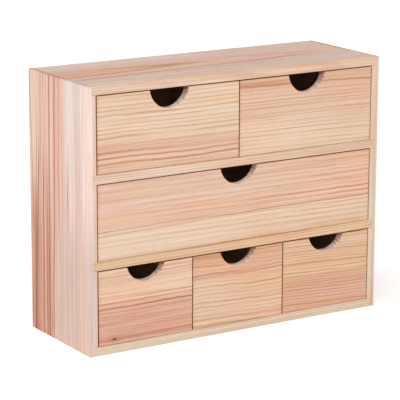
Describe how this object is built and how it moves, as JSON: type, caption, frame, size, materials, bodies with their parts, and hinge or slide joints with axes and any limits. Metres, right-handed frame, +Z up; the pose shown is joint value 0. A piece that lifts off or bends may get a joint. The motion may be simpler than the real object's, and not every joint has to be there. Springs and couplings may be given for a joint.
{
  "type": "desktop mini drawers",
  "caption": "Small unpainted pine chest for a desk, with shelves and plain push-fit drawers opened by half-round finger notches.",
  "frame": {"origin": "centre of the footprint, on the surface that the chest stands on", "axes": "+Z up, +X to the right of someone who faces the drawers, -Y the way the drawers open"},
  "size_m": [0.34, 0.12, 0.265],
  "materials": {
    "pine_carcase": "unfinished, sanded",
    "pine_front": "unfinished, sanded",
    "pine_box": "unfinished, planed",
    "plywood": "unfinished",
    "steel": "bright wire"
  },
  "bodies": {
    "carcase": {"left_side": "pine_carcase", "right_side": "pine_carcase", "top_board": "pine_carcase", "bottom_board": "pine_carcase", "upper_shelf": "pine_carcase", "lower_shelf": "pine_carcase", "upper_divider": "plywood", "lower_left_divider": "plywood", "lower_right_divider": "plywood", "back_panel": "plywood", "back_panel_brads": "steel"},
    "top_left_drawer": {"top_left_drawer_front": "pine_front", "top_left_drawer_left_wall": "pine_box", "top_left_drawer_right_wall": "pine_box", "top_left_drawer_rear_wall": "pine_box", "top_left_drawer_floor": "plywood", "top_left_drawer_brads": "steel"},
    "top_right_drawer": {"top_right_drawer_front": "pine_front", "top_right_drawer_left_wall": "pine_box", "top_right_drawer_right_wall": "pine_box", "top_right_drawer_rear_wall": "pine_box", "top_right_drawer_floor": "plywood", "top_right_drawer_brads": "steel"},
    "middle_drawer": {"middle_drawer_front": "pine_front", "middle_drawer_left_wall": "pine_box", "middle_drawer_right_wall": "pine_box", "middle_drawer_rear_wall": "pine_box", "middle_drawer_floor": "plywood", "middle_drawer_brads": "steel"},
    "bottom_left_drawer": {"bottom_left_drawer_front": "pine_front", "bottom_left_drawer_left_wall": "pine_box", "bottom_left_drawer_right_wall": "pine_box", "bottom_left_drawer_rear_wall": "pine_box", "bottom_left_drawer_floor": "plywood", "bottom_left_drawer_brads": "steel"},
    "bottom_middle_drawer": {"bottom_middle_drawer_front": "pine_front", "bottom_middle_drawer_left_wall": "pine_box", "bottom_middle_drawer_right_wall": "pine_box", "bottom_middle_drawer_rear_wall": "pine_box", "bottom_middle_drawer_floor": "plywood", "bottom_middle_drawer_brads": "steel"},
    "bottom_right_drawer": {"bottom_right_drawer_front": "pine_front", "bottom_right_drawer_left_wall": "pine_box", "bottom_right_drawer_right_wall": "pine_box", "bottom_right_drawer_rear_wall": "pine_box", "bottom_right_drawer_floor": "plywood", "bottom_right_drawer_brads": "steel"}
  },
  "joints": [
    {"name": "top_left_slide", "type": "slide", "parent": "carcase", "child": "top_left_drawer", "axis": [0, -1, 0], "range_m": [0, 0.088]},
    {"name": "top_right_slide", "type": "slide", "parent": "carcase", "child": "top_right_drawer", "axis": [0, -1, 0], "range_m": [0, 0.088]},
    {"name": "middle_slide", "type": "slide", "parent": "carcase", "child": "middle_drawer", "axis": [0, -1, 0], "range_m": [0, 0.088]},
    {"name": "bottom_left_slide", "type": "slide", "parent": "carcase", "child": "bottom_left_drawer", "axis": [0, -1, 0], "range_m": [0, 0.088]},
    {"name": "bottom_middle_slide", "type": "slide", "parent": "carcase", "child": "bottom_middle_drawer", "axis": [0, -1, 0], "range_m": [0, 0.088]},
    {"name": "bottom_right_slide", "type": "slide", "parent": "carcase", "child": "bottom_right_drawer", "axis": [0, -1, 0], "range_m": [0, 0.088]}
  ]
}
